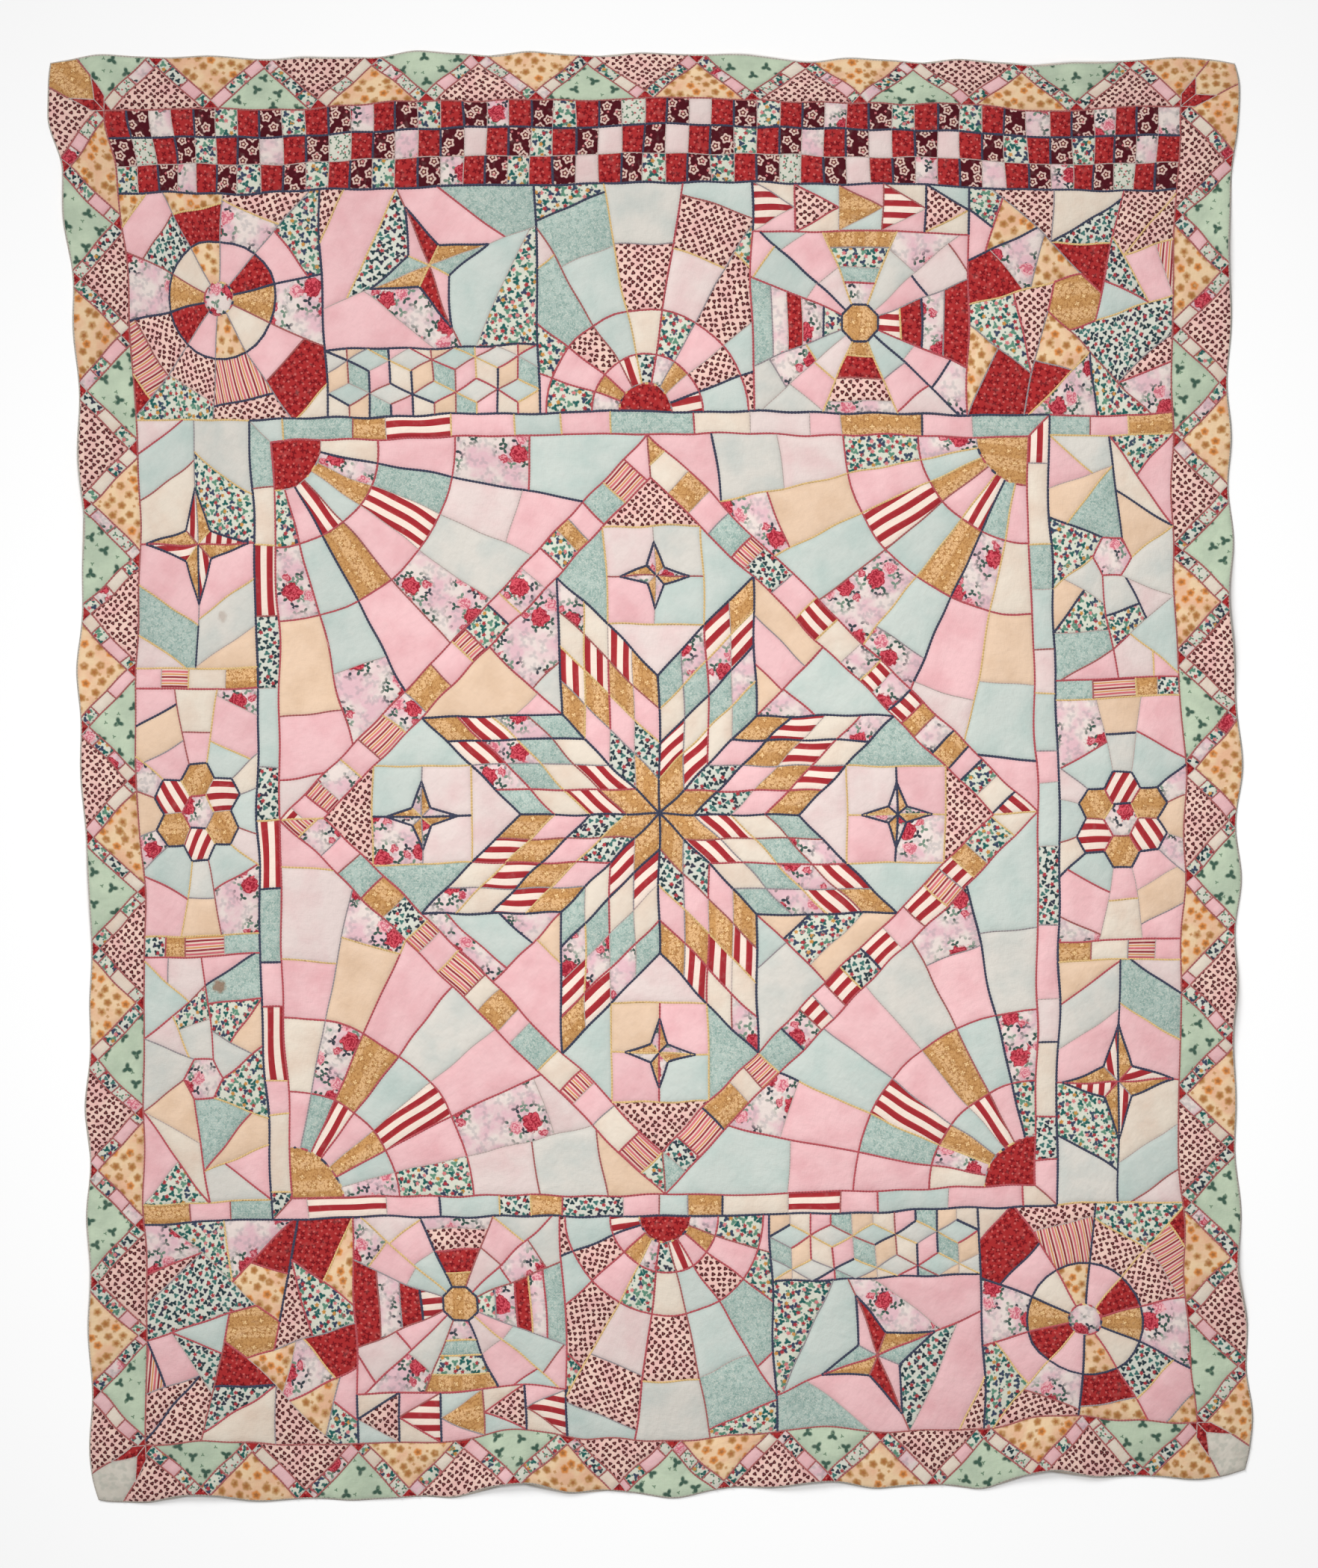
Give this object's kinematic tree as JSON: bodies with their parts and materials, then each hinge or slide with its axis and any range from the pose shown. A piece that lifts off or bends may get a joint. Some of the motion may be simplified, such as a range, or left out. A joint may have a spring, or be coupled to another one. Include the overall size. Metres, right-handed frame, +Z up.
{
  "type": "pieced coverlet",
  "caption": "Pieced patchwork coverlet lying flat, with a checked band under its top edge and a zigzag border of triangles.",
  "frame": {"origin": "under the middle of the coverlet's outline, on the surface it lies on", "axes": "+Z up out of the patchwork's face, +Y along the length towards the checked band"},
  "size_m": [1.9372, 2.3288, 0.0113],
  "materials": {
    "field_patchwork": "soft washed cotton prints and plains, mostly pink, pale aqua and cream",
    "check_patchwork": "cotton prints in red, maroon and white",
    "border_patchwork": "cotton prints in maroon, mint and orange",
    "ochre_print": "ochre cotton brocade print",
    "orange_print": "orange spotted cotton print",
    "pale_print": "pale grey cotton print"
  },
  "bodies": {
    "root": {"field_centre": "field_patchwork", "field_column_left": "field_patchwork", "field_column_right": "field_patchwork", "field_row_bottom": "field_patchwork", "field_row_top": "field_patchwork", "check_band": "check_patchwork", "border_bottom": "border_patchwork", "border_top": "border_patchwork", "border_left": "border_patchwork", "border_right": "border_patchwork", "corner_top_left": "ochre_print", "corner_top_right": "orange_print", "corner_bottom_left": "pale_print", "corner_bottom_right": "pale_print"}
  },
  "joints": []
}
